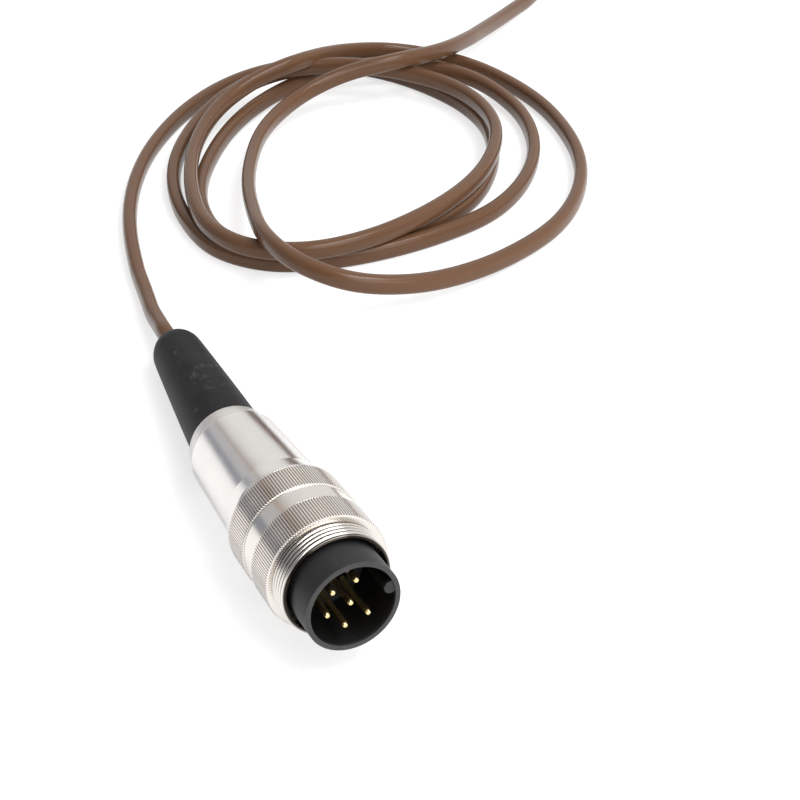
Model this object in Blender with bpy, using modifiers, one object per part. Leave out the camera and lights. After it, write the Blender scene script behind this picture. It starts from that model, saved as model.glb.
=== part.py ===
"""Thermocouple penetration probe: six-pin circular plug, looped lead, and a handle with a pointed needle.

The plug lies tilted on its coupling ring and on the rear end of its sleeve. The probe lies level on its handle.
Sizes are in millimetres and become metres where the geometry is made. The floor is z = 0.
"""

import math

import bmesh
import bpy
from mathutils import Vector

MM = 0.001
GAP = 0.3  # between pieces that touch
ROUND_STEPS = 64
FINE_STEPS = 32
WIRE_STEPS = 12

# Lead: a flat twin cable that stands on its narrow edge
LEAD_THICK = 2.85
LEAD_HIGH = 3.7
LEAD_POINTS = 80
LEAD_CLEAR_R = LEAD_HIGH / 2 + GAP
CORE_R = 0.4

# Contact insert of the plug; lengths run back from the shroud's rim
SHROUD_R = 6.8
SHROUD_WALL = 0.7
SOCKET_DEPTH = 9.5
INSERT_LENGTH = 17.0
INSERT_STEP_FROM = 10.7
INSERT_STEP_LENGTH = 1.5
INSERT_STEP_R = 7.15
KEY_R = 0.95
KEY_SETBACK = 0.35
KEY_ANGLE = -13.4  # degrees from the plug's own X towards the floor

# Contact pins
PIN_COUNT = 5  # on the circle, besides the one in the centre
PIN_CIRCLE_R = 3.5
PIN_SPACING = 60.0  # degrees
PIN_SETBACK = 1.1
PIN_R = 0.5
PIN_HOLE_CLEARANCE = 0.25
PIN_SHANK_R = 0.9
PIN_SHANK_FROM = 13.3
PIN_SHANK_END = 20.5
PIN_CUP_R = 0.6
PIN_CUP_DEPTH = 3.0

# Coupling ring
RING_FRONT = 4.9
RING_BORE_R = 7.4
THREAD_R = 8.0
THREAD_LENGTH = 3.4
KNURL_R = 9.0
KNURL_DEPTH = 0.22
KNURL_WIDTH = 5.2
KNURL_TEETH = 140
GROOVE_DEPTH = 0.25
GROOVE_WIDTH = 3.4

# Half shells that hold the insert and carry the ring
FLANGE_R = 8.0
FLANGE_THICK = 2.0
SHELL_R = 7.7
SHELL_SCREW_R = 6.9
SHELL_SCREW_LENGTH = 5.0
SHELL_TAIL_R = 6.0
SHELL_TAIL_END = 39.6
SHELL_TAIL_WALL = 0.8
SHELL_STOP_R = 5.9

# Sleeve
SLEEVE_FLARE_R = 8.5
SLEEVE_LIP = 0.6
SLEEVE_FLARE_LENGTH = 3.5
SLEEVE_FRONT_R = 7.95
SLEEVE_REAR_R = 7.32
SLEEVE_END = 41.9
SLEEVE_ROUND = 0.35
SLEEVE_SEAT_WALL = 0.9
NECK_R = 6.5
NECK_LENGTH = 3.05
BOOT_HOLE_R = 5.8

# Cable clamp inside the plug
CLAMP_FROM = 31.0
CLAMP_LENGTH = 6.0
CLAMP_SPLIT = 0.7
CLAMP_SCREW_R = 0.6
CLAMP_SCREW_HEAD_R = 1.1
CLAMP_SCREW_HEAD = 0.8
CLAMP_SCREW_OUT = 3.4

# Boot behind the sleeve
BOOT_R = 6.0  # where it comes out of the sleeve
BOOT_TAPER = (
    (56.0, 5.48), (66.0, 4.95), (76.0, 4.38), (77.0, 4.12), (78.0, 3.78), (79.0, 3.36), (80.0, 2.88), (80.6, 2.5),
)
BOOT_LEAN = 0.0763  # sideways shift for each millimetre along the axis
BOOT_LEAN_FROM = 43.7

# Probe: lengths run from the mouth of the handle's boot towards the tip
PROBE_X = 138.0
PROBE_Y = 288.0
HANDLE_R = 6.0
HANDLE_WALL = 1.6
HANDLE_FROM = 10.0
HANDLE_END = 82.0
HANDLE_ROUND = 1.2
HANDLE_MOUTH_R = 3.9
GRIP_GROOVES = 5
GRIP_GROOVE_DEPTH = 0.4
GRIP_GROOVE_WIDTH = 1.4
GRIP_PITCH = 4.0
GRIP_END_MARGIN = 8.0
HANDLE_BOOT_R = 3.6
HANDLE_BOOT_MOUTH_R = 2.7
HANDLE_BOOT_FLANGE = 2.0
COLLAR_FROM = 15.0
COLLAR_LENGTH = 5.0
COLLAR_R = 3.2
LEAD_END_IN_HANDLE = 25.0
SPLICE_FROM = 44.0
SPLICE_LENGTH = 7.0
SPLICE_R = 0.9
SPLICE_OUT = 1.5
NOSE_LENGTH = 8.0
NOSE_TIP_R = 2.6
NOSE_SPIGOT = 9.0
NEEDLE_R = 1.65
NEEDLE_BORE_R = 1.1
NEEDLE_LENGTH = 93.0
NEEDLE_POINT = 5.0
NEEDLE_HELD = 12.0
NEEDLE_PLUG = 4.0
PROBE_WIRE_R = 0.25
PROBE_WIRE_OUT = 0.5
JUNCTION_R = 0.55

# The lead's route on the floor. X and Y run from the point under the rim's centre, Z is the lead's middle.
ROUTE = (
    # Out of the boot and round the far side
    (2.7, 82.9, 4.28), (3.2, 88.3, 3.35), (3.6, 93.2, 2.78), (4.5, 98.4, 2.31), (5.8, 106.8, 1.85),
    (6.5, 110.9, 1.85), (9.1, 122.4, 1.85), (12.7, 133.9, 1.85), (17.5, 144.9, 1.85), (23.5, 155.3, 1.85),
    (30.6, 164.7, 1.85), (39.0, 173.3, 1.85), (48.8, 180.5, 1.85), (59.8, 185.1, 1.85), (71.6, 185.6, 1.85),
    (82.4, 180.7, 1.85), (89.9, 171.3, 1.85), (94.5, 160.3, 1.85),
    # First turn, inside
    (96.9, 148.5, 1.85), (96.1, 136.5, 1.85), (91.9, 125.4, 1.85), (85.3, 115.4, 1.85), (76.8, 107.0, 1.85),
    (66.3, 101.6, 1.85), (54.7, 99.6, 1.85), (42.7, 100.6, 1.85), (31.5, 105.0, 1.85), (25.2, 114.9, 1.85),
    (25.7, 126.9, 1.85), (29.6, 138.4, 1.85), (35.9, 148.9, 1.97), (43.3, 158.2, 2.20), (51.9, 165.9, 2.54),
    (62.1, 171.5, 3.12), (72.9, 173.7, 4.05), (83.9, 171.1, 5.32), (94.7, 166.3, 4.97), (103.2, 158.8, 3.58),
    # Second turn, resting on the first where they cross
    (106.1, 148.3, 2.78), (105.5, 136.5, 2.31), (101.7, 125.2, 2.08), (95.6, 115.3, 1.85), (87.1, 106.5, 1.85),
    (76.9, 100.1, 1.85), (65.3, 97.1, 1.85), (53.2, 96.1, 1.85), (41.2, 97.3, 1.85), (30.0, 101.5, 1.85),
    (22.7, 110.9, 1.85), (21.3, 122.7, 1.85), (22.7, 134.8, 1.97), (26.5, 146.2, 2.31), (32.2, 156.0, 2.78),
    (39.5, 164.7, 3.35), (48.0, 171.0, 4.39), (58.3, 174.0, 6.01), (69.1, 171.4, 7.63), (79.8, 166.6, 7.52),
    (89.3, 160.5, 6.24),
    # Third turn, on top of the first two
    (95.2, 151.3, 5.55), (96.4, 139.6, 5.43), (93.6, 127.8, 5.55), (87.4, 117.7, 5.55), (79.1, 109.1, 5.55),
    (69.3, 102.6, 5.55), (58.3, 98.0, 5.55), (46.8, 95.5, 5.55), (34.9, 96.5, 5.55), (25.4, 103.4, 5.55),
    (22.0, 114.6, 5.55), (23.8, 126.5, 5.43), (27.4, 137.9, 5.20), (32.2, 148.4, 5.20), (38.6, 157.9, 5.55),
    (46.0, 164.6, 6.71), (55.0, 167.9, 8.79), (64.8, 169.2, 10.29), (77.7, 175.2, 8.09), (91.0, 177.1, 5.55),
    (101.7, 172.5, 3.70), (108.7, 163.7, 2.66),
    # Fourth turn, outside and then over all the others
    (111.9, 152.4, 2.20), (112.7, 140.2, 1.97), (111.0, 128.3, 1.85), (107.5, 116.6, 1.85),
    (102.1, 106.0, 1.85), (94.6, 96.7, 1.85), (85.4, 89.2, 1.97), (74.5, 83.9, 2.20), (62.6, 80.1, 2.89),
    (49.7, 78.3, 4.39), (37.4, 79.9, 7.05), (29.7, 87.2, 9.37), (28.1, 98.9, 9.37), (31.1, 112.4, 7.40),
    (35.3, 125.7, 5.78), (40.7, 137.7, 4.97), (47.3, 148.5, 4.86), (55.6, 157.0, 5.09), (64.8, 161.7, 6.48),
    (74.6, 161.8, 8.79), (85.4, 159.4, 10.41), (98.3, 163.0, 9.02), (110.2, 171.6, 6.59), (118.6, 179.1, 4.74),
    (129.1, 187.9, 3.01), (138.8, 195.4, 2.08),
    # Away to the probe's handle
    (143.7, 198.9, 1.85), (153.0, 206.5, 1.85), (161.5, 214.5, 1.85), (169.0, 224.5, 1.85),
    (174.8, 236.5, 1.85), (176.8, 249.5, 1.97), (174.5, 262.0, 2.66), (168.0, 273.0, 3.93),
    (158.5, 281.5, 5.55), (149.5, 286.0, 6.48),
)

# Every size below follows from the ones above
RING_REAR = RING_FRONT + THREAD_LENGTH + 2 * KNURL_WIDTH + GROOVE_WIDTH
FLANGE_FROM = INSERT_STEP_FROM + INSERT_STEP_LENGTH + GAP
SLEEVE_FRONT = RING_REAR + GAP
SLEEVE_BORE_R = SHELL_SCREW_R + GAP
SLEEVE_CHAMBER_R = SHELL_TAIL_R + GAP
NECK_FROM = SLEEVE_END + SLEEVE_ROUND
NECK_END = NECK_FROM + NECK_LENGTH
SLEEVE_SEAT = SLEEVE_END - SLEEVE_SEAT_WALL
BOOT_FROM = SHELL_TAIL_END + GAP
BOOT_END = BOOT_TAPER[-1][0]
TILT = math.atan2(KNURL_R - SLEEVE_REAR_R, SLEEVE_END - RING_REAR)
INSERT_HOLE_R = PIN_R + PIN_HOLE_CLEARANCE
NOSE_FROM = HANDLE_END + GAP
NEEDLE_FROM = NOSE_FROM + NOSE_LENGTH - NEEDLE_HELD
NEEDLE_TIP = NOSE_FROM + NOSE_LENGTH + NEEDLE_LENGTH


def axis_height(station):
    """Height of the plug's axis over the floor, this far behind the rim."""
    return KNURL_R * math.cos(TILT) + (RING_REAR - station) * math.sin(TILT)


def material(name, colour, roughness, metallic=0.0):
    """A plain Principled material."""
    made = bpy.data.materials.new(name)
    made.use_nodes = True
    shader = made.node_tree.nodes["Principled BSDF"]
    shader.inputs["Base Color"].default_value = (*colour, 1.0)
    shader.inputs["Roughness"].default_value = roughness
    shader.inputs["Metallic"].default_value = metallic
    return made


def link(mesh_or_curve, name, finish, parent, collection="thermocouple_probe"):
    """Put a new object with this data in the model."""
    made = bpy.data.objects.new(name, mesh_or_curve)
    bpy.data.collections[collection].objects.link(made)
    if finish:
        mesh_or_curve.materials.append(finish)
    made.parent = parent
    return made


def as_cutter(made):
    """Hide a shape that only cuts others."""
    made.hide_render = True
    made.display_type = "WIRE"
    return made


def boolean(made, other, operation="DIFFERENCE"):
    """Cut one shape with another, or join them."""
    step = made.modifiers.new(operation.lower(), "BOOLEAN")
    step.operation = operation
    step.object = other
    step.solver = "EXACT"


def lathe(name, outline, finish, parent, steps=ROUND_STEPS, cutter=False):
    """Turn an outline of (radius, station) points about the local Z axis.

    The outline runs along the axis side first and comes back along the outside, or the other way round:
    it is put in the order that makes the faces point outwards. One that doesn't touch the axis is closed.
    """
    touches_axis = outline[0][0] == 0
    ring = list(outline)
    area = sum(a[0] * b[1] - b[0] * a[1] for a, b in zip(ring, ring[1:] + ring[:1]))
    if area > 0:
        ring.reverse()
    edges = [(i, i + 1) for i in range(len(ring) - 1)]
    if not touches_axis:
        edges.append((len(ring) - 1, 0))
    mesh = bpy.data.meshes.new(name)
    mesh.from_pydata([(r * MM, 0.0, z * MM) for r, z in ring], edges, [])
    made = link(mesh, name, finish, parent, "cutters" if cutter else "thermocouple_probe")
    turn = made.modifiers.new("turn", "SCREW")
    turn.steps = turn.render_steps = steps
    turn.use_merge_vertices = True
    turn.merge_threshold = 0.000001
    turn.use_smooth_shade = True
    return as_cutter(made) if cutter else made


def cylinder_cutter(name, radius, low, high, at, parent, steps=FINE_STEPS, along="Z"):
    """A cylinder that cuts along the local Z or Y axis, between two stations."""
    mesh = bpy.data.meshes.new(name)
    shape = bmesh.new()
    bmesh.ops.create_cone(
        shape, cap_ends=True, segments=steps, radius1=radius * MM, radius2=radius * MM, depth=(high - low) * MM
    )
    shape.to_mesh(mesh)
    shape.free()
    made = link(mesh, name, None, parent, "cutters")
    middle = (low + high) / 2
    if along == "Y":
        made.rotation_euler.x = math.radians(90)
        made.location = Vector((at[0], middle, at[1])) * MM
    else:
        made.location = Vector((at[0], at[1], middle)) * MM
    return as_cutter(made)


def box_cutter(name, low, high, parent):
    """A box that cuts, between two corners."""
    mesh = bpy.data.meshes.new(name)
    shape = bmesh.new()
    bmesh.ops.create_cube(shape, size=MM)
    bmesh.ops.scale(shape, vec=[b - a for a, b in zip(low, high)], verts=shape.verts)
    shape.to_mesh(mesh)
    shape.free()
    made = link(mesh, name, None, parent, "cutters")
    made.location = (Vector(low) + Vector(high)) / 2 * MM
    return as_cutter(made)


def wire(name, points, radius, finish, parent):
    """A round wire through these points."""
    curve = bpy.data.curves.new(name, "CURVE")
    curve.dimensions = "3D"
    curve.bevel_depth = radius * MM
    curve.bevel_resolution = 2
    curve.use_fill_caps = True
    line = curve.splines.new("POLY")
    line.points.add(len(points) - 1)
    for point, place in zip(line.points, points):
        point.co = (*(Vector(place) * MM), 1.0)
    return link(curve, name, finish, parent)


def smooth_route(points, count):
    """Points spread evenly along a smooth curve through the route's own points."""
    fine = []
    for i in range(len(points) - 1):
        before, here, there, after = (Vector(points[min(max(i + k, 0), len(points) - 1)]) for k in (-1, 0, 1, 2))
        for k in range(8):
            t = k / 8
            fine.append(
                0.5 * (2 * here + (there - before) * t + (2 * before - 5 * here + 4 * there - after) * t**2
                + (3 * here - before - 3 * there + after) * t**3)
            )
    fine.append(Vector(points[-1]))
    run = [0.0]
    for a, b in zip(fine, fine[1:]):
        run.append(run[-1] + (b - a).length)
    even, k = [], 0
    for i in range(count):
        want = run[-1] * i / (count - 1)
        while k < len(run) - 2 and run[k + 1] < want:
            k += 1
        even.append(fine[k].lerp(fine[k + 1], (want - run[k]) / (run[k + 1] - run[k])))
        even[-1].z = max(even[-1].z, LEAD_HIGH / 2)
    return even


def boot_lean(station):
    """Sideways shift of the boot and of the lead in it."""
    return BOOT_LEAN * max(0.0, station - BOOT_LEAN_FROM)


def pin_places():
    """Centres of the six contacts, the middle one last. The key takes the sixth place on the circle."""
    around = [math.radians(KEY_ANGLE + PIN_SPACING * (k + 1)) for k in range(PIN_COUNT)]
    return [(PIN_CIRCLE_R * math.cos(a), PIN_CIRCLE_R * math.sin(a)) for a in around] + [(0.0, 0.0)]


def contact_insert(plug, finish):
    """Moulded insert: an open shroud with a key rib, a floor that holds the pins, and a step against the shells."""
    inside_r = SHROUD_R - SHROUD_WALL
    edge = 0.12
    step_end = INSERT_STEP_FROM + INSERT_STEP_LENGTH
    outline = [
        (0, SOCKET_DEPTH), (inside_r, SOCKET_DEPTH), (inside_r, edge), (inside_r + edge, 0), (SHROUD_R - edge, 0),
        (SHROUD_R, edge), (SHROUD_R, INSERT_STEP_FROM), (INSERT_STEP_R, INSERT_STEP_FROM), (INSERT_STEP_R, step_end),
        (SHROUD_R, step_end), (SHROUD_R, INSERT_LENGTH), (0, INSERT_LENGTH),
    ]
    insert = lathe("contact_insert", outline, finish, plug)
    angle = math.radians(KEY_ANGLE)
    at = (inside_r * math.cos(angle), inside_r * math.sin(angle))
    rib = cylinder_cutter("key_rib", KEY_R, KEY_SETBACK, SOCKET_DEPTH + 1, at, plug, 24)
    bore = lathe(
        "key_limit", [(0, -1), (0, SOCKET_DEPTH + 2), (SHROUD_R - SHROUD_WALL / 2, SOCKET_DEPTH + 2),
        (SHROUD_R - SHROUD_WALL / 2, -1)], None, plug, cutter=True
    )
    boolean(rib, bore, "INTERSECT")
    boolean(insert, rib, "UNION")
    for number, place in enumerate(pin_places(), 1):
        hole_name = f"pin_hole_{number}"
        hole = cylinder_cutter(hole_name, INSERT_HOLE_R, SOCKET_DEPTH - 1, INSERT_LENGTH, place, plug, 16)
        seat = cylinder_cutter(
            f"pin_seat_{number}", PIN_SHANK_R + PIN_HOLE_CLEARANCE, PIN_SHANK_FROM - GAP, INSERT_LENGTH + 1,
            place, plug, 16
        )
        boolean(insert, hole)
        boolean(insert, seat)


def contact_pins(plug, finish):
    """Six turned contacts with domed tips and hollow solder cups."""
    cup_floor = PIN_SHANK_END - PIN_CUP_DEPTH
    outline = [
        (0, PIN_SETBACK), (PIN_R * 0.6, PIN_SETBACK + PIN_R * 0.2), (PIN_R * 0.93, PIN_SETBACK + PIN_R * 0.63),
        (PIN_R, PIN_SETBACK + PIN_R), (PIN_R, PIN_SHANK_FROM), (PIN_SHANK_R, PIN_SHANK_FROM),
        (PIN_SHANK_R, PIN_SHANK_END), (PIN_CUP_R, PIN_SHANK_END), (PIN_CUP_R, cup_floor), (0, cup_floor),
    ]
    for number, (x, y) in enumerate(pin_places(), 1):
        pin = lathe(f"contact_pin_{number}", outline, finish, plug, WIRE_STEPS)
        pin.location = Vector((x, y, 0)) * MM


def knurled_band(name, station, plug):
    """A toothed disc that joins the ring: straight teeth along the axis."""
    mesh = bpy.data.meshes.new(name)
    shape = bmesh.new()
    bmesh.ops.create_cone(
        shape, cap_ends=True, segments=2 * KNURL_TEETH, radius1=KNURL_R * MM, radius2=KNURL_R * MM,
        depth=KNURL_WIDTH * MM
    )
    for corner in shape.verts:
        tooth = math.atan2(corner.co.y, corner.co.x) / math.pi * KNURL_TEETH
        if round(tooth) % 2:
            corner.co.xy *= 1 - KNURL_DEPTH / KNURL_R
    shape.to_mesh(mesh)
    shape.free()
    band = link(mesh, name, None, plug, "cutters")
    band.location.z = (station + KNURL_WIDTH / 2) * MM
    return as_cutter(band)


def coupling_ring(plug, finish):
    """Screw ring with a threaded nose, two knurled bands and a groove, that turns about the shells' flange."""
    first = RING_FRONT + THREAD_LENGTH
    second = first + KNURL_WIDTH + GROOVE_WIDTH
    groove_r = KNURL_R - GROOVE_DEPTH
    edge = 0.3
    outline = [
        (0, RING_FRONT), (THREAD_R - edge, RING_FRONT), (THREAD_R, RING_FRONT + edge), (THREAD_R, first + GAP),
        (groove_r, first + GAP), (groove_r, RING_REAR - GAP), (0, RING_REAR - GAP),
    ]
    ring = lathe("coupling_ring", outline, finish, plug)
    boolean(ring, knurled_band("front_knurl", first, plug), "UNION")
    boolean(ring, knurled_band("rear_knurl", second, plug), "UNION")
    shoulder = FLANGE_FROM - GAP
    inside = [
        (0, RING_FRONT - 1), (RING_BORE_R, RING_FRONT - 1), (RING_BORE_R, shoulder), (FLANGE_R + GAP, shoulder),
        (FLANGE_R + GAP, RING_REAR + 1), (0, RING_REAR + 1),
    ]
    boolean(ring, lathe("ring_inside", inside, None, plug, cutter=True))
    return ring


def half_shells(plug, finish):
    """Two half shells: a flange for the ring, a seat for the insert, a screw end for the sleeve and a tail."""
    stop = INSERT_LENGTH + GAP
    screw_from = RING_REAR - 0.1
    screw_end = screw_from + SHELL_SCREW_LENGTH
    tail_inside = SHELL_TAIL_R - SHELL_TAIL_WALL
    outline = [
        (SHROUD_R + GAP, FLANGE_FROM), (FLANGE_R, FLANGE_FROM), (FLANGE_R, FLANGE_FROM + FLANGE_THICK),
        (SHELL_R, FLANGE_FROM + FLANGE_THICK), (SHELL_R, screw_from), (SHELL_SCREW_R, screw_from),
        (SHELL_SCREW_R, screw_end), (SHELL_TAIL_R, screw_end), (SHELL_TAIL_R, SHELL_TAIL_END),
        (tail_inside, SHELL_TAIL_END), (tail_inside, screw_end), (SHELL_STOP_R, screw_end - 1), (SHELL_STOP_R, stop),
        (SHROUD_R + GAP, stop),
    ]
    reach = FLANGE_R + 1
    for side, name in ((-1, "half_shell_left"), (1, "half_shell_right")):
        shell = lathe(name, outline, finish, plug, FINE_STEPS)
        low, high = sorted((-side * reach, side * GAP / 2))
        away = box_cutter(f"{name}_cut", (low, -reach, FLANGE_FROM - 1), (high, reach, SHELL_TAIL_END + 1), plug)
        boolean(shell, away)


def sleeve(plug, finish):
    """Turned sleeve: a flared mouth behind the ring, a slow taper, a rounded shoulder and a short neck."""
    screw_end = RING_REAR + SHELL_SCREW_LENGTH + GAP
    flare_end = SLEEVE_FRONT + SLEEVE_FLARE_LENGTH
    outline = [
        (SLEEVE_BORE_R, SLEEVE_FRONT), (SLEEVE_FLARE_R, SLEEVE_FRONT), (SLEEVE_FLARE_R, SLEEVE_FRONT + SLEEVE_LIP),
        (SLEEVE_FRONT_R, flare_end), (SLEEVE_REAR_R, SLEEVE_END),
    ]
    drop = SLEEVE_REAR_R - NECK_R
    outline += [
        (NECK_R + drop * math.cos(math.radians(a)), SLEEVE_END + SLEEVE_ROUND * math.sin(math.radians(a)))
        for a in (30, 60, 90)
    ]
    outline += [
        (NECK_R, NECK_END - 0.2), (NECK_R - 0.2, NECK_END), (BOOT_HOLE_R, NECK_END),
        (BOOT_HOLE_R, SLEEVE_SEAT), (SLEEVE_CHAMBER_R, SLEEVE_SEAT),
        (SLEEVE_CHAMBER_R, screw_end), (SLEEVE_BORE_R, screw_end),
    ]
    return lathe("sleeve", outline, finish, plug)


def cable_clamp(plug, finish, screw_finish):
    """Two saddles that grip the lead inside the half shells, and the two screws that draw them together."""
    radius = SHELL_TAIL_R - SHELL_TAIL_WALL - GAP
    end = CLAMP_FROM + CLAMP_LENGTH
    middle = (CLAMP_FROM + end) / 2
    outline = [(0, CLAMP_FROM), (radius, CLAMP_FROM), (radius, end), (0, end)]
    bore = cylinder_cutter("clamp_bore", LEAD_CLEAR_R, CLAMP_FROM - 1, end + 1, (0, 0), plug)
    head_seat = math.sqrt(radius**2 - (CLAMP_SCREW_OUT + CLAMP_SCREW_HEAD_R) ** 2) - CLAMP_SCREW_HEAD
    for side, name in ((1, "cable_clamp_lower"), (-1, "cable_clamp_upper")):
        saddle = lathe(name, outline, finish, plug, FINE_STEPS)
        low, high = sorted((-side * (radius + 1), side * CLAMP_SPLIT / 2))
        away = box_cutter(f"{name}_cut", (-radius - 1, low, CLAMP_FROM - 1), (radius + 1, high, end + 1), plug)
        boolean(saddle, away)
        boolean(saddle, bore)
        for number, x in ((1, -CLAMP_SCREW_OUT), (2, CLAMP_SCREW_OUT)):
            hole = cylinder_cutter(
                f"{name}_hole_{number}", CLAMP_SCREW_R + GAP, -radius - 1, radius + 1, (x, middle), plug, 16, "Y"
            )
            boolean(saddle, hole)
            if side < 0:
                seat = cylinder_cutter(
                    f"{name}_seat_{number}", CLAMP_SCREW_HEAD_R + GAP, -radius - 1, -head_seat, (x, middle),
                    plug, 16, "Y"
                )
                boolean(saddle, seat)
    screw_end = head_seat + 0.6
    outline = [
        (0, screw_end), (CLAMP_SCREW_R, screw_end), (CLAMP_SCREW_R, -head_seat + GAP),
        (CLAMP_SCREW_HEAD_R, -head_seat + GAP), (CLAMP_SCREW_HEAD_R, -head_seat - CLAMP_SCREW_HEAD + GAP * 2),
        (0, -head_seat - CLAMP_SCREW_HEAD + GAP * 2),
    ]
    outline = [(r, z - 2 * GAP) for r, z in outline]
    for number, x in ((1, -CLAMP_SCREW_OUT), (2, CLAMP_SCREW_OUT)):
        screw = lathe(f"clamp_screw_{number}", outline, screw_finish, plug, WIRE_STEPS)
        screw.rotation_euler.x = math.radians(-90)
        screw.location = Vector((x, 0, middle)) * MM


def boot(plug, finish):
    """Rubber boot held behind the sleeve's neck: a slow taper, a round end, and a lean to one side with the lead."""
    lip = SLEEVE_SEAT - GAP
    hole_r = BOOT_HOLE_R - GAP
    outside = NECK_END + GAP
    outline = [
        (LEAD_CLEAR_R, BOOT_FROM), (SHELL_TAIL_R, BOOT_FROM), (SHELL_TAIL_R, lip), (hole_r, lip), (hole_r, outside),
        (BOOT_R, outside), *[(r, s) for s, r in BOOT_TAPER], (LEAD_CLEAR_R, BOOT_END),
    ]
    outline += [(LEAD_CLEAR_R, s) for s, _ in reversed(BOOT_TAPER[:3])]
    made = lathe("boot", outline, finish, plug, FINE_STEPS)
    bpy.context.view_layer.update()
    turned = bpy.data.meshes.new_from_object(made.evaluated_get(bpy.context.evaluated_depsgraph_get()))
    made.modifiers.clear()
    made.data = turned
    for corner in turned.vertices:
        corner.co.x += boot_lean(corner.co.z / MM) * MM


def plug_cores(plug, copper, alloy):
    """The lead's two cores, from its cut end to their solder cups."""
    places = pin_places()
    start = CLAMP_FROM - 2 * GAP
    end = PIN_SHANK_END + GAP
    for name, finish, side, place in (
        ("core_copper", copper, -1, places[2]),
        ("core_alloy", alloy, 1, places[0]),
    ):
        x = side * LEAD_HIGH / 4
        points = [
            (x, 0, start), (x, 0, start - 2), (place[0] * 0.7, place[1] * 0.7, end + 4), (*place, end + 1.5),
            (*place, end),
        ]
        wire(name, points, CORE_R, finish, plug)


def probe_handle(probe, plastic, rubber, steel):
    """Handle tube with grip grooves, its rubber mouth, and the steel nose that holds the needle."""
    bore_r = HANDLE_R - HANDLE_WALL
    rear_wall = HANDLE_FROM + 2.0
    outline = [
        (HANDLE_MOUTH_R, HANDLE_FROM), (HANDLE_R - HANDLE_ROUND, HANDLE_FROM),
        (HANDLE_R - HANDLE_ROUND * 0.3, HANDLE_FROM + HANDLE_ROUND * 0.3), (HANDLE_R, HANDLE_FROM + HANDLE_ROUND),
    ]
    first = HANDLE_END - GRIP_END_MARGIN - (GRIP_GROOVES - 1) * GRIP_PITCH
    for groove in range(GRIP_GROOVES):
        at = first + groove * GRIP_PITCH
        half = GRIP_GROOVE_WIDTH / 2
        outline += [
            (HANDLE_R, at - half), (HANDLE_R - GRIP_GROOVE_DEPTH, at - half / 2),
            (HANDLE_R - GRIP_GROOVE_DEPTH, at + half / 2), (HANDLE_R, at + half),
        ]
    outline += [
        (HANDLE_R, HANDLE_END - HANDLE_ROUND), (HANDLE_R - HANDLE_ROUND * 0.3, HANDLE_END - HANDLE_ROUND * 0.3),
        (HANDLE_R - HANDLE_ROUND, HANDLE_END), (bore_r, HANDLE_END), (bore_r, rear_wall), (HANDLE_MOUTH_R, rear_wall),
    ]
    lathe("handle", outline, plastic, probe, FINE_STEPS)

    flange_r = bore_r - GAP
    flange_from = rear_wall + GAP
    outline = [
        (LEAD_CLEAR_R, 0), (HANDLE_BOOT_MOUTH_R - 0.3, 0), (HANDLE_BOOT_MOUTH_R, 0.4), (HANDLE_BOOT_R, HANDLE_FROM - 1),
        (HANDLE_BOOT_R, flange_from), (flange_r, flange_from), (flange_r, flange_from + HANDLE_BOOT_FLANGE),
        (LEAD_CLEAR_R, flange_from + HANDLE_BOOT_FLANGE),
    ]
    lathe("handle_boot", outline, rubber, probe, FINE_STEPS)

    needle_clear = NEEDLE_R + GAP
    nose_end = NOSE_FROM + NOSE_LENGTH
    outline = [
        (needle_clear, NOSE_FROM - NOSE_SPIGOT), (flange_r, NOSE_FROM - NOSE_SPIGOT), (flange_r, NOSE_FROM),
        (HANDLE_R - HANDLE_ROUND, NOSE_FROM), (HANDLE_R - HANDLE_ROUND, NOSE_FROM + 2.0),
        (NOSE_TIP_R, nose_end - 0.4), (NOSE_TIP_R - 0.3, nose_end), (needle_clear, nose_end),
    ]
    lathe("needle_holder", outline, steel, probe, FINE_STEPS)


def needle(probe, steel, copper, alloy, bead):
    """Steel needle with a ground point, its two wires and the welded junction in its tip."""
    bore_end = NEEDLE_TIP - NEEDLE_POINT - NEEDLE_PLUG
    outline = [
        (0, NEEDLE_TIP), (NEEDLE_R, NEEDLE_TIP - NEEDLE_POINT), (NEEDLE_R, NEEDLE_FROM), (NEEDLE_BORE_R, NEEDLE_FROM),
        (NEEDLE_BORE_R, bore_end), (0, bore_end + NEEDLE_BORE_R),
    ]
    lathe("needle", outline, steel, probe, 24)
    junction_at = bore_end - JUNCTION_R
    dot = [(0, -JUNCTION_R)]
    dot += [(JUNCTION_R * math.sin(math.radians(a)), -JUNCTION_R * math.cos(math.radians(a))) for a in (45, 90, 135)]
    dot += [(0, JUNCTION_R)]
    lathe("hot_junction", [(r, z + junction_at) for r, z in dot], bead, probe, WIRE_STEPS)
    for name, finish, side in (("probe_wire_copper", copper, -1), ("probe_wire_alloy", alloy, 1)):
        points = [
            (side * SPLICE_OUT, 0, SPLICE_FROM + SPLICE_LENGTH + GAP),
            (side * SPLICE_OUT, 0, SPLICE_FROM + SPLICE_LENGTH + 3),
            (side * PROBE_WIRE_OUT, 0, NEEDLE_FROM - 6),
            (side * PROBE_WIRE_OUT, 0, junction_at - JUNCTION_R - GAP),
        ]
        wire(name, points, PROBE_WIRE_R, finish, probe)


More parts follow.
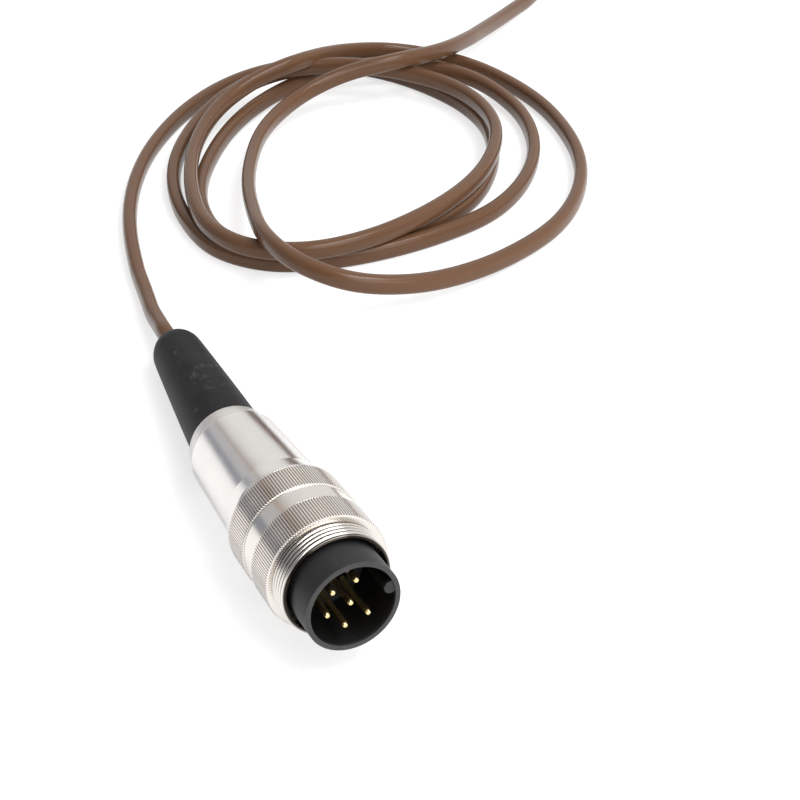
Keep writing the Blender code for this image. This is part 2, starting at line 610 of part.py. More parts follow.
def handle_inside(probe, copper, alloy, tin):
    """Crimped collar that stops the lead, and the two splices between the lead's cores and the needle's wires."""
    outline = [
        (LEAD_CLEAR_R, COLLAR_FROM), (COLLAR_R, COLLAR_FROM), (COLLAR_R, COLLAR_FROM + COLLAR_LENGTH),
        (LEAD_CLEAR_R, COLLAR_FROM + COLLAR_LENGTH),
    ]
    lathe("lead_collar", outline, tin, probe, FINE_STEPS)
    for name, finish, side in (("handle_core_copper", copper, -1), ("handle_core_alloy", alloy, 1)):
        points = [
            (side * LEAD_HIGH / 4, 0, LEAD_END_IN_HANDLE + GAP), (side * LEAD_HIGH / 4, 0, LEAD_END_IN_HANDLE + 3),
            (side * SPLICE_OUT, 0, SPLICE_FROM - 4), (side * SPLICE_OUT, 0, SPLICE_FROM - GAP),
        ]
        wire(name, points, CORE_R, finish, probe)
    end = SPLICE_FROM + SPLICE_LENGTH
    outline = [(0, SPLICE_FROM), (SPLICE_R, SPLICE_FROM), (SPLICE_R, end), (0, end)]
    for name, side in (("splice_copper", -1), ("splice_alloy", 1)):
        lathe(name, outline, tin, probe, WIRE_STEPS).location.x = side * SPLICE_OUT * MM


def lead(layout, plug, probe, finish):
    """The flat lead, from the clamp through the boot, round its loops and into the handle."""
    bpy.context.view_layer.update()
    into_floor = layout.matrix_world.inverted()

    def placed(frame, x, z):
        return tuple(into_floor @ frame.matrix_world @ (Vector((x, 0, z)) * MM) / MM)

    in_plug = [placed(plug, boot_lean(s), s) for s in (CLAMP_FROM, BOOT_LEAN_FROM, 62.0, BOOT_END + 1)]
    in_handle = [placed(probe, 0, s) for s in (-5.0, LEAD_END_IN_HANDLE)]
    free = smooth_route([in_plug[-1], *ROUTE, in_handle[0]], LEAD_POINTS - len(in_plug) - len(in_handle) + 2)
    points = in_plug[:-1] + free + in_handle[1:]
    curve = bpy.data.curves.new("lead", "CURVE")
    curve.dimensions = "3D"
    curve.twist_mode = "Z_UP"
    curve.bevel_depth = LEAD_THICK / 2 * MM
    curve.extrude = (LEAD_HIGH - LEAD_THICK) / 2 * MM
    curve.bevel_resolution = 2
    curve.use_fill_caps = True
    line = curve.splines.new("POLY")
    line.points.add(len(points) - 1)
    for point, place in zip(line.points, points):
        point.co = (*(Vector(place) * MM), 1.0)
    return link(curve, "lead", finish, layout)


def centre_on_base(layout, without):
    """Move the layout so that the origin is under the middle of the plug and the probe."""
    bpy.context.view_layer.update()
    graph = bpy.context.evaluated_depsgraph_get()
    corners = []
    for made in bpy.data.collections["thermocouple_probe"].objects:
        if made.type == "MESH" and made not in without:
            shown = made.evaluated_get(graph)
            corners += [shown.matrix_world @ corner.co for corner in shown.data.vertices]
    for axis in (0, 1):
        low = min(corner[axis] for corner in corners)
        high = max(corner[axis] for corner in corners)
        layout.location[axis] -= (low + high) / 2


def empty(name, parent=None):
    """A frame that carries pieces."""
    made = bpy.data.objects.new(name, None)
    bpy.data.collections["thermocouple_probe"].objects.link(made)
    made.parent = parent
    return made


def main():
    for old in list(bpy.data.objects):
        bpy.data.objects.remove(old)
    for name in ("thermocouple_probe", "cutters"):
        bpy.context.scene.collection.children.link(bpy.data.collections.new(name))

    black_plastic = material("black_plastic", (0.030, 0.030, 0.033), 0.45)
    black_rubber = material("black_rubber", (0.045, 0.044, 0.046), 0.7)
    gold = material("gold_plate", (0.80, 0.56, 0.20), 0.25, 1.0)
    bright_nickel = material("bright_nickel", (0.76, 0.72, 0.68), 0.2, 1.0)
    satin_nickel = material("satin_nickel", (0.74, 0.71, 0.68), 0.3, 1.0)
    brown_pvc = material("brown_pvc", (0.16, 0.10, 0.07), 0.45)
    copper = material("copper", (0.78, 0.42, 0.28), 0.3, 1.0)
    alloy = material("pale_alloy", (0.62, 0.60, 0.57), 0.35, 1.0)
    stainless = material("stainless", (0.66, 0.66, 0.66), 0.25, 1.0)
    tinned = material("tinned_copper", (0.68, 0.68, 0.67), 0.35, 1.0)

    layout = empty("layout")
    plug = empty("plug_axis", layout)
    plug.rotation_euler.x = -math.pi / 2 - TILT
    plug.location.z = axis_height(0) * MM
    probe = empty("probe_axis", layout)
    probe.rotation_euler.y = -math.pi / 2
    probe.location = Vector((PROBE_X, PROBE_Y, HANDLE_R)) * MM

    contact_insert(plug, black_plastic)
    contact_pins(plug, gold)
    coupling_ring(plug, bright_nickel)
    half_shells(plug, satin_nickel)
    sleeve(plug, satin_nickel)
    cable_clamp(plug, tinned, stainless)
    boot(plug, black_rubber)
    plug_cores(plug, copper, alloy)
    probe_handle(probe, black_plastic, black_rubber, stainless)
    needle(probe, stainless, copper, alloy, tinned)
    handle_inside(probe, copper, alloy, tinned)
    cable = lead(layout, plug, probe, brown_pvc)
    centre_on_base(layout, [cable])


main()
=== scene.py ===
"""Thermocouple penetration probe: the looks. Sizes are in millimetres and become metres where a piece is made."""

import math

import bmesh
import bpy
from mathutils import Matrix, Vector

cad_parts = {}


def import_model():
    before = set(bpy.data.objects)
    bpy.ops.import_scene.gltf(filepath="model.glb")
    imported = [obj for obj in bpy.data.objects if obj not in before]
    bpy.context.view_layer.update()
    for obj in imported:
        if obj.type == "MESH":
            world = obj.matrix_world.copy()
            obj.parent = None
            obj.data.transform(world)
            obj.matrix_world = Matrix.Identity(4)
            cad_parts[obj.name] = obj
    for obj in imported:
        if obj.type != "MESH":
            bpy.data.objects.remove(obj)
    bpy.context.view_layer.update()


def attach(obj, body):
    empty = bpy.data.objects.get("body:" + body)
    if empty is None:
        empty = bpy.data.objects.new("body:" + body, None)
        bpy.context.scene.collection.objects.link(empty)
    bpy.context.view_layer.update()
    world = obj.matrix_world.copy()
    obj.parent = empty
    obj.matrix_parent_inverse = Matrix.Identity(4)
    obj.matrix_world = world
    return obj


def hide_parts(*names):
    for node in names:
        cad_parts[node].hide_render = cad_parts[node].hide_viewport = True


MM = 0.001

# The frame: where the plug's and the probe's axes start, and the corner that the lead's route is measured from
LAYOUT = (-46.35, -146.7176, 0.0)
TILT = math.atan2(9.0 - 7.32, 41.9 - 22.1)  # the plug rests on its ring and on the rear of its sleeve
PLUG_HEIGHT = 10.8362
PROBE = (138.0, 288.0, 6.0)

# Plug; lengths run back from the shroud's rim
SHROUD_R, SHROUD_WALL, SOCKET_DEPTH = 6.8, 0.7, 9.5
GATE_ANGLE, GATE_R = -95.0, 0.27  # what is left of the mould's gate, inside the rim
PIN_R, PIN_CIRCLE_R, PIN_SETBACK, PIN_HOLE_R = 0.5, 3.5, 1.1, 0.75
PIN_AHEAD = 0.3  # the rounded point starts this much nearer the rim
CUP_FRONT, CUP_END, CUP_R, CUP_BORE_R, CUP_BORE_FROM = 13.3, 20.5, 0.9, 0.6, 17.5
KEY_ANGLE, KEY_R, KEY_SETBACK = -13.4, 0.95, 0.2
KEY_TURN, KEY_REACH = 3.0, 0.5  # the rib stands this far round from the pins' sixth place, and this far in
RING_FRONT, RING_BORE_R, THREAD_R, THREAD_LENGTH, THREAD_PITCH = 4.9, 7.4, 8.0, 3.4, 0.72
THREAD_DEPTH = 0.45
THREAD_TURNS, THREAD_RUN_IN = 9, 1.6  # drawn longer than the thread is, and trimmed
KNURL_R, KNURL_WIDTH, KNURL_TEETH, GROOVE_WIDTH = 9.0, 5.2, 140, 3.4
TOOTH_DEPTH, TOOTH_STEPS = 0.15, 5
RING_REAR = RING_FRONT + THREAD_LENGTH + 2 * KNURL_WIDTH + GROOVE_WIDTH
SLEEVE_FRONT, SLEEVE_END, NECK_END = RING_REAR + 0.3, 41.9, 45.3
BOOT_LEAN, BOOT_LEAN_FROM, BOOT_END = 0.0763, 43.7, 80.6

# Lead: a flat twin cable that stands on its narrow edge
LEAD_THICK, LEAD_HIGH = 2.85, 3.7
LEAD_FULLNESS = 2.6  # 2 is an oval; more is nearer to a box
LEAD_FROM = 53.0
LEAD_IN_HANDLE = 12.0
LEAD_STEP, SECTION_POINTS = 1.1, 28

# Handle; lengths run from its cable end towards the needle's tip
GRIP_R, GRIP_GROOVES, GRIP_GROOVE_FROM, GRIP_GROOVE_PITCH = 6.0, 5, 58.0, 4.0

# The lead's route on the floor, as in the part's source
ROUTE = (
    # Out of the boot and round the far side
    (2.7, 82.9, 4.28), (3.2, 88.3, 3.35), (3.6, 93.2, 2.78), (4.5, 98.4, 2.31), (5.8, 106.8, 1.85),
    (6.5, 110.9, 1.85), (9.1, 122.4, 1.85), (12.7, 133.9, 1.85), (17.5, 144.9, 1.85), (23.5, 155.3, 1.85),
    (30.6, 164.7, 1.85), (39.0, 173.3, 1.85), (48.8, 180.5, 1.85), (59.8, 185.1, 1.85), (71.6, 185.6, 1.85),
    (82.4, 180.7, 1.85), (89.9, 171.3, 1.85), (94.5, 160.3, 1.85),
    # First turn, inside
    (96.9, 148.5, 1.85), (96.1, 136.5, 1.85), (91.9, 125.4, 1.85), (85.3, 115.4, 1.85), (76.8, 107.0, 1.85),
    (66.3, 101.6, 1.85), (54.7, 99.6, 1.85), (42.7, 100.6, 1.85), (31.5, 105.0, 1.85), (25.2, 114.9, 1.85),
    (25.7, 126.9, 1.85), (29.6, 138.4, 1.85), (35.9, 148.9, 1.97), (43.3, 158.2, 2.20), (51.9, 165.9, 2.54),
    (62.1, 171.5, 3.12), (72.9, 173.7, 4.05), (83.9, 171.1, 5.32), (94.7, 166.3, 4.97), (103.2, 158.8, 3.58),
    # Second turn, resting on the first where they cross
    (106.1, 148.3, 2.78), (105.5, 136.5, 2.31), (101.7, 125.2, 2.08), (95.6, 115.3, 1.85), (87.1, 106.5, 1.85),
    (76.9, 100.1, 1.85), (65.3, 97.1, 1.85), (53.2, 96.1, 1.85), (41.2, 97.3, 1.85), (30.0, 101.5, 1.85),
    (22.7, 110.9, 1.85), (21.3, 122.7, 1.85), (22.7, 134.8, 1.97), (26.5, 146.2, 2.31), (32.2, 156.0, 2.78),
    (39.5, 164.7, 3.35), (48.0, 171.0, 4.39), (58.3, 174.0, 6.01), (69.1, 171.4, 7.63), (79.8, 166.6, 7.52),
    (89.3, 160.5, 6.24),
    # Third turn, on top of the first two
    (95.2, 151.3, 5.55), (96.4, 139.6, 5.43), (93.6, 127.8, 5.55), (87.4, 117.7, 5.55), (79.1, 109.1, 5.55),
    (69.3, 102.6, 5.55), (58.3, 98.0, 5.55), (46.8, 95.5, 5.55), (34.9, 96.5, 5.55), (25.4, 103.4, 5.55),
    (22.0, 114.6, 5.55), (23.8, 126.5, 5.43), (27.4, 137.9, 5.20), (32.2, 148.4, 5.20), (38.6, 157.9, 5.55),
    (46.0, 164.6, 6.71), (55.0, 167.9, 8.79), (64.8, 169.2, 10.29), (77.7, 175.2, 8.09), (91.0, 177.1, 5.55),
    (101.7, 172.5, 3.70), (108.7, 163.7, 2.66),
    # Fourth turn, outside and then over all the others
    (111.9, 152.4, 2.20), (112.7, 140.2, 1.97), (111.0, 128.3, 1.85), (107.5, 116.6, 1.85),
    (102.1, 106.0, 1.85), (94.6, 96.7, 1.85), (85.4, 89.2, 1.97), (74.5, 83.9, 2.20), (62.6, 80.1, 2.89),
    (49.7, 78.3, 4.39), (37.4, 79.9, 7.05), (29.7, 87.2, 9.37), (28.1, 98.9, 9.37), (31.1, 112.4, 7.40),
    (35.3, 125.7, 5.78), (40.7, 137.7, 4.97), (47.3, 148.5, 4.86), (55.6, 157.0, 5.09), (64.8, 161.7, 6.48),
    (74.6, 161.8, 8.79), (85.4, 159.4, 10.41), (98.3, 163.0, 9.02), (110.2, 171.6, 6.59), (118.6, 179.1, 4.74),
    (129.1, 187.9, 3.01), (138.8, 195.4, 2.08),
    # Away to the probe's handle
    (143.7, 198.9, 1.85), (153.0, 206.5, 1.85), (161.5, 214.5, 1.85), (169.0, 224.5, 1.85),
    (174.8, 236.5, 1.85), (176.8, 249.5, 1.97), (174.5, 262.0, 2.66), (168.0, 273.0, 3.93),
    (158.5, 281.5, 5.55), (149.5, 286.0, 6.48),
)


def camera():
    """The photograph's view: from the front left, looking down on the plug."""
    lens = bpy.data.cameras.new("camera")
    lens.lens, lens.sensor_width, lens.clip_start = 67.5, 36.0, 0.01
    made = bpy.data.objects.new("camera", lens)
    bpy.context.scene.collection.objects.link(made)
    made.location = Vector((-105.012, -277.695, 145.707)) * MM
    made.rotation_euler = (math.radians(54.607), 0.0, math.radians(-26.527))
    bpy.context.scene.camera = made


def plug_frame():
    """From the plug's own axes, with Z along it, to the floor's."""
    at = Matrix.Translation(Vector((LAYOUT[0], LAYOUT[1], PLUG_HEIGHT)) * MM)
    return at @ Matrix.Rotation(-math.pi / 2 - TILT, 4, "X")


def probe_frame():
    """From the probe's own axes, with Z towards the needle's tip, to the floor's."""
    at = Matrix.Translation((Vector(LAYOUT) + Vector(PROBE)) * MM)
    return at @ Matrix.Rotation(-math.pi / 2, 4, "Y")


class Value:
    """A shader value that can stand in an expression; each sign adds its Math node."""

    def __init__(self, finish, socket):
        self.finish, self.socket = finish, socket

    def __add__(self, other):
        return self.finish.maths("ADD", self, other)

    __radd__ = __add__

    def __sub__(self, other):
        return self.finish.maths("SUBTRACT", self, other)

    def __rsub__(self, other):
        return self.finish.maths("SUBTRACT", other, self)

    def __mul__(self, other):
        return self.finish.maths("MULTIPLY", self, other)

    __rmul__ = __mul__

    def __truediv__(self, other):
        return self.finish.maths("DIVIDE", self, other)

    def __pow__(self, other):
        return self.finish.maths("POWER", self, other)


class Finish:
    """A material: one Principled shader and the nodes that vary it."""

    def __init__(self, name, roughness=0.5, metallic=0.0, tree=None, **constant):
        if tree is None:
            self.material = bpy.data.materials.new(name)
            self.material.use_nodes = True
            tree = self.material.node_tree
            self.shader = tree.nodes["Principled BSDF"]
            self.set("Roughness", roughness)
            self.set("Metallic", metallic)
            for socket, value in constant.items():
                self.set(socket.replace("_", " "), value)
        self.tree = tree

    def node(self, kind, settings=None, sockets=None, out=0):
        """Any shader node: its settings first, then the values or links of its sockets."""
        made = self.tree.nodes.new("ShaderNode" + kind)
        for key, value in (settings or {}).items():
            if key == "stops":
                ramp = made.color_ramp
                while len(ramp.elements) < len(value):
                    ramp.elements.new(0.5)
                for stop, (place, colour) in zip(ramp.elements, value):
                    stop.position = place
                    stop.color = (*colour, 1.0) if isinstance(colour, tuple) else (colour, colour, colour, 1.0)
            else:
                setattr(made, key, value)
        for key, value in (sockets or {}).items():
            if isinstance(value, Value):
                self.tree.links.new(value.socket, made.inputs[key])
            else:
                made.inputs[key].default_value = value
        return Value(self, made.outputs[out])

    def maths(self, sign, first, second=0.0, clamp=False):
        return self.node("Math", {"operation": sign, "use_clamp": clamp}, {0: first, 1: second})

    def set(self, socket, value):
        """A constant on the shader's own socket, or a link into it."""
        if isinstance(value, Value):
            self.tree.links.new(value.socket, self.shader.inputs[socket])
        else:
            self.shader.inputs[socket].default_value = value

    def place(self, frame=None):
        """Object coordinates, or those along a frame's own axes, in metres."""
        spot = self.node("TexCoord", out="Object")
        if frame is None:
            return spot
        back = frame.inverted()
        return self.node(
            "Mapping", {"vector_type": "POINT"},
            {"Vector": spot, "Location": back.translation, "Rotation": back.to_euler()},
        )

    def split(self, spot, axis):
        return self.node("SeparateXYZ", sockets={0: spot}, out=axis)

    def stretch(self, spot, scale):
        return self.node("VectorMath", {"operation": "MULTIPLY"}, {0: spot, 1: scale})

    def noise(self, spot, scale, detail, rough=0.55, stretched=(1.0, 1.0, 1.0)):
        """Noise from 0 to 1 with this many spots in a metre."""
        return self.node(
            "TexNoise", {"noise_dimensions": "3D"},
            {"Vector": self.stretch(spot, stretched), "Scale": scale, "Detail": detail, "Roughness": rough},
        )

    def between(self, value, low, high, to_low=0.0, to_high=1.0):
        """The value's share of the way from low to high, smoothed and kept inside."""
        return self.node(
            "MapRange", {"interpolation_type": "SMOOTHSTEP"},
            {"Value": value, "From Min": low, "From Max": high, "To Min": to_low, "To Max": to_high},
        )

    def blend(self, share, first, second):
        """From one colour to another."""
        tones = [t if isinstance(t, Value) else (*t, 1.0) for t in (first, second)]
        return self.node("Mix", {"data_type": "RGBA"}, {0: share, 6: tones[0], 7: tones[1]}, out=2)

    def bump(self, height, depth):
        """Relief: height from 0 to 1 stands this many metres high."""
        return self.node("Bump", sockets={"Height": height, "Distance": depth, "Strength": 1.0})


def alone(made=None):
    """Deselect everything but this piece."""
    bpy.ops.object.select_all(action="DESELECT")
    if made is not None:
        made.select_set(True)
        bpy.context.view_layer.objects.active = made


def pick(made, wanted):
    """In edit mode, select the points that the test accepts."""
    bpy.ops.mesh.select_mode(type="VERT")
    bpy.ops.mesh.select_all(action="DESELECT")
    shape = bmesh.from_edit_mesh(made.data)
    for corner in shape.verts:
        if wanted(corner.co / MM):
            corner.select_set(True)
    shape.select_flush_mode()
    bmesh.update_edit_mesh(made.data)


def turned(name, outline, steps, joined=False):
    """Turn an outline of (radius, station): a circle is drawn out along Z and widened or narrowed, ring by ring."""
    alone()
    radius, station = outline[0]
    bpy.ops.mesh.primitive_circle_add(vertices=steps, radius=radius * MM)
    made = bpy.context.object
    made.name = made.data.name = name
    bpy.ops.object.mode_set(mode="EDIT")
    bpy.ops.mesh.select_all(action="SELECT")
    bpy.ops.transform.translate(value=(0, 0, station * MM))
    for (r0, s0), (r1, s1) in zip(outline, outline[1:]):
        bpy.ops.mesh.extrude_edges_move(TRANSFORM_OT_translate={"value": (0, 0, (s1 - s0) * MM)})
        if r1 != r0:
            bpy.ops.transform.resize(value=(r1 / r0, r1 / r0, 1), center_override=(0, 0, s1 * MM))
    bpy.ops.mesh.select_all(action="SELECT")
    if joined:
        bpy.ops.mesh.remove_doubles(threshold=0.000001)
    else:
        bpy.ops.mesh.fill_holes(sides=0)
    bpy.ops.mesh.select_all(action="SELECT")
    bpy.ops.mesh.normals_make_consistent(inside=False)
    bpy.ops.object.mode_set(mode="OBJECT")
    return made


def modified(made, kind, **settings):
    """Give a piece a modifier and apply it."""
    alone(made)
    step = made.modifiers.new(kind.lower(), kind)
    for key, value in settings.items():
        setattr(step, key, value)
    bpy.ops.object.modifier_apply(modifier=step.name)


def rounded(made, width):
    """Round the sharp edges."""
    modified(
        made, "BEVEL", width=width * MM, segments=3, limit_method="ANGLE", angle_limit=math.radians(25.0),
        offset_type="OFFSET", use_clamp_overlap=True, miter_outer="MITER_ARC",
    )


def cut(made, other, operation="DIFFERENCE"):
    """Cut a piece with another shape, or join them, and put the other away."""
    modified(made, "BOOLEAN", object=other, operation=operation, solver="EXACT")
    bpy.data.objects.remove(other)


def laid(made, frame, finish, body, nodes, angle=35.0):
    """Shade a piece, put its place in its mesh, and tell the frame what it is."""
    alone(made)
    bpy.ops.object.shade_smooth_by_angle(angle=math.radians(angle))
    made.matrix_world = frame @ made.matrix_world
    bpy.ops.object.transform_apply(location=True, rotation=True, scale=True)
    made.data.materials.clear()
    made.data.materials.append(finish.material)
    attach(made, body)
    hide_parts(*nodes)


def circle_place(angle, radius=PIN_CIRCLE_R):
    return radius * math.cos(math.radians(angle)), radius * math.sin(math.radians(angle))


def pin_places():
    """Centres of the contacts, the middle one last."""
    return [circle_place(KEY_ANGLE + 60 * (k + 1)) for k in range(5)] + [(0.0, 0.0)]


def rod(radius, low, high, at=(0.0, 0.0), vertices=48):
    """A plain rod along Z between two stations, to cut or join with."""
    alone()
    bpy.ops.mesh.primitive_cylinder_add(
        vertices=vertices, radius=radius * MM, depth=(high - low) * MM,
        location=(at[0] * MM, at[1] * MM, (low + high) / 2 * MM),
    )
    return bpy.context.object


def shroud(plug, finish):
    """The moulded insert: shroud with a rounded rim and a key rib inside, a floor with six holes, a rear body."""
    inside_r = SHROUD_R - SHROUD_WALL
    made = turned("shroud", [
        (0.4, SOCKET_DEPTH), (inside_r, SOCKET_DEPTH), (inside_r, 0.0), (SHROUD_R, 0.0), (SHROUD_R, 10.7),
        (7.15, 10.7), (7.15, 12.2), (SHROUD_R, 12.2), (SHROUD_R, 17.0), (0.4, 17.0),
    ], 192)
    key, inner = (
        rod(KEY_R, KEY_SETBACK, SOCKET_DEPTH + 1, circle_place(KEY_ANGLE + KEY_TURN, radius), 40)
        for radius in (inside_r, inside_r - KEY_REACH)
    )
    cut(key, inner, "UNION")
    limit = rod(SHROUD_R - SHROUD_WALL / 2, -1, SOCKET_DEPTH + 2, vertices=192)
    cut(key, limit, "INTERSECT")
    cut(made, key, "UNION")
    cut(made, rod(GATE_R, 0.02, 0.6, circle_place(GATE_ANGLE, inside_r), 16), "UNION")
    for at in pin_places():
        cut(made, rod(PIN_HOLE_R, SOCKET_DEPTH - 1, 18, at, 32))
    rounded(made, 0.14)
    laid(made, plug, finish, "probe", ["contact_insert"])


def pins(plug, finish):
    """Six turned contacts, modelled once and copied."""
    point = [(0.26, 0.0), (0.31, 0.03), (0.36, 0.11), (0.41, 0.21), (0.455, 0.33), (0.485, 0.48), (0.5, 0.7)]
    first = turned("contact", [(r, PIN_SETBACK - PIN_AHEAD + s) for r, s in point] + [
        (PIN_R, CUP_FRONT), (CUP_R, CUP_FRONT), (CUP_R, CUP_END), (CUP_BORE_R, CUP_END), (CUP_BORE_R, CUP_BORE_FROM),
    ], 32)
    places = pin_places()
    for number, at in enumerate(places, 1):
        made = first
        if number < len(places):
            made = first.copy()
            made.data = first.data.copy()
            bpy.context.scene.collection.objects.link(made)
        made.name = made.data.name = f"contact_{number}"
        shift = Matrix.Translation(Vector((*at, 0.0)) * MM)
        laid(made, plug @ shift, finish, "probe", [f"contact_pin_{number}"])


def knurled_ring(plug, finish):
    """The coupling ring behind its thread: two bands of fine straight teeth, with a smooth groove between."""
    front = RING_FRONT + THREAD_LENGTH
    low_r, groove_r = 8.66, 8.75
    outline = [(RING_BORE_R, front), (low_r, front)]
    for start in (front, front + KNURL_WIDTH + GROOVE_WIDTH):
        end = start + KNURL_WIDTH
        outline += [
            (KNURL_R - 0.02, start + 0.07), (KNURL_R, start + 0.11), (KNURL_R, end - 0.11),
            (KNURL_R - 0.02, end - 0.07), (low_r, end),
        ]
        if start == front:
            outline += [(groove_r, end + 0.12), (groove_r, end + GROOVE_WIDTH - 0.12), (low_r, end + GROOVE_WIDTH)]
    outline += [(8.3, RING_REAR), (8.3, 12.2), (RING_BORE_R, 12.2), (RING_BORE_R, front)]
    steps = TOOTH_STEPS * KNURL_TEETH
    made = turned("coupling_ring_body", outline, steps, joined=True)
    bpy.ops.object.mode_set(mode="EDIT")
    pick(made, lambda p: math.hypot(p.x, p.y) > KNURL_R - 0.05
         and round(math.atan2(p.y, p.x) / math.tau * steps) % TOOTH_STEPS in (3, 4))
    deep = (KNURL_R - TOOTH_DEPTH) / KNURL_R
    bpy.ops.transform.resize(value=(deep, deep, 1), center_override=(0, 0, 0))
    bpy.ops.object.mode_set(mode="OBJECT")
    laid(made, plug, finish, "ring", ["coupling_ring"], 20.0)


def ring_thread(plug, finish):
    """The ring's screw thread: a zigzag drawn point by point, screwed round, and trimmed by a chamfered tube."""
    alone()
    bpy.ops.mesh.primitive_plane_add(size=MM)
    made = bpy.context.object
    made.name = made.data.name = "coupling_ring_thread"
    bpy.ops.object.mode_set(mode="EDIT")
    bpy.ops.mesh.select_all(action="SELECT")
    bpy.ops.mesh.merge(type="CENTER")
    profile = (  # the share of the pitch, and the height against the crest
        (0.00, -THREAD_DEPTH), (0.13, -0.42), (0.22, -0.24), (0.32, -0.08), (0.42, -0.01), (0.50, 0.0),
        (0.58, -0.01), (0.68, -0.08), (0.78, -0.24), (0.87, -0.42), (1.00, -THREAD_DEPTH),
    )
    root_r = THREAD_R - THREAD_DEPTH
    bpy.ops.mesh.select_all(action="SELECT")
    bpy.ops.transform.translate(value=(root_r * MM, 0, (RING_FRONT - THREAD_RUN_IN) * MM))
    for _ in range(THREAD_TURNS):
        for (s0, r0), (s1, r1) in zip(profile, profile[1:]):
            bpy.ops.mesh.extrude_vertices_move(
                TRANSFORM_OT_translate={"value": ((r1 - r0) * MM, 0, (s1 - s0) * THREAD_PITCH * MM)}
            )
    bpy.ops.object.mode_set(mode="OBJECT")
    modified(
        made, "SCREW", axis="Z", angle=math.tau, steps=192, render_steps=192, screw_offset=THREAD_PITCH * MM,
        use_merge_vertices=False,
    )
    bpy.ops.object.mode_set(mode="EDIT")
    bpy.ops.mesh.select_all(action="SELECT")
    bpy.ops.mesh.remove_doubles(threshold=0.000001)
    for station, sign in ((RING_FRONT - 0.5, 1), (RING_FRONT + THREAD_LENGTH + 0.5, -1)):
        bpy.ops.mesh.select_all(action="SELECT")
        bpy.ops.mesh.bisect(
            plane_co=(0, 0, station * MM), plane_no=(0, 0, sign), clear_inner=True, use_fill=True, threshold=0.0000001
        )
    bpy.ops.mesh.select_all(action="SELECT")
    bpy.ops.mesh.normals_make_consistent(inside=False)
    bpy.ops.object.mode_set(mode="OBJECT")
    end = RING_FRONT + THREAD_LENGTH + 0.1
    tube = turned("tube", [
        (RING_BORE_R, RING_FRONT), (7.5, RING_FRONT), (THREAD_R + 0.05, RING_FRONT + 0.42), (THREAD_R + 0.05, end),
        (RING_BORE_R, end), (RING_BORE_R, RING_FRONT),
    ], 192, joined=True)
    cut(made, tube, "INTERSECT")
    laid(made, plug, finish, "ring", ["coupling_ring"], 25.0)


def sleeve(plug, finish):
    """The turned sleeve: a flared mouth, a slow taper, a tight shoulder and a bright neck."""
    made = turned("sleeve_body", [
        (7.2, SLEEVE_FRONT), (8.36, SLEEVE_FRONT), (8.5, SLEEVE_FRONT + 0.14), (8.5, SLEEVE_FRONT + 0.6),
        (8.47, SLEEVE_FRONT + 0.72), (7.98, SLEEVE_FRONT + 3.42), (7.94, SLEEVE_FRONT + 3.6),
        (7.32, SLEEVE_END - 0.03), (7.28, SLEEVE_END + 0.12), (7.16, SLEEVE_END + 0.25), (7.0, SLEEVE_END + 0.32),
        (6.4, SLEEVE_END + 0.35), (6.34, SLEEVE_END + 0.4), (6.34, SLEEVE_END + 0.5),
        (6.54, NECK_END - 0.2), (6.46, NECK_END - 0.05), (6.3, NECK_END), (5.8, NECK_END), (5.8, 41.0), (6.3, 41.0),
        (6.3, 27.4), (7.2, 27.4), (7.2, SLEEVE_FRONT),
    ], 224, joined=True)
    laid(made, plug, finish, "probe", ["sleeve"], 40.0)


def boot(plug, finish):
    """The rubber boot: straight sides that narrow slowly, a round end, and a lean to the lead's side."""
    taper = [
        (6.0, 45.6), (5.84, 48.0), (5.73, 50.5), (5.60, 53.5), (5.48, 56.0), (5.22, 61.0), (4.95, 66.0), (4.68, 71.0),
        (4.45, 75.0), (4.34, 76.4), (4.12, 77.3), (3.78, 78.2), (3.36, 79.0), (2.95, 79.75), (2.55, 80.3), (2.2, 80.6),
    ]
    made = turned("boot_body", [
        (2.2, 39.9), (6.0, 39.9), (6.0, 40.7), (5.5, 40.7), (5.5, 45.6), *taper, (2.2, 39.9),
    ], 160, joined=True)
    for corner in made.data.vertices:
        corner.co.x += BOOT_LEAN * max(0.0, corner.co.z - BOOT_LEAN_FROM * MM)
    laid(made, plug, finish, "probe", ["boot"], 50.0)


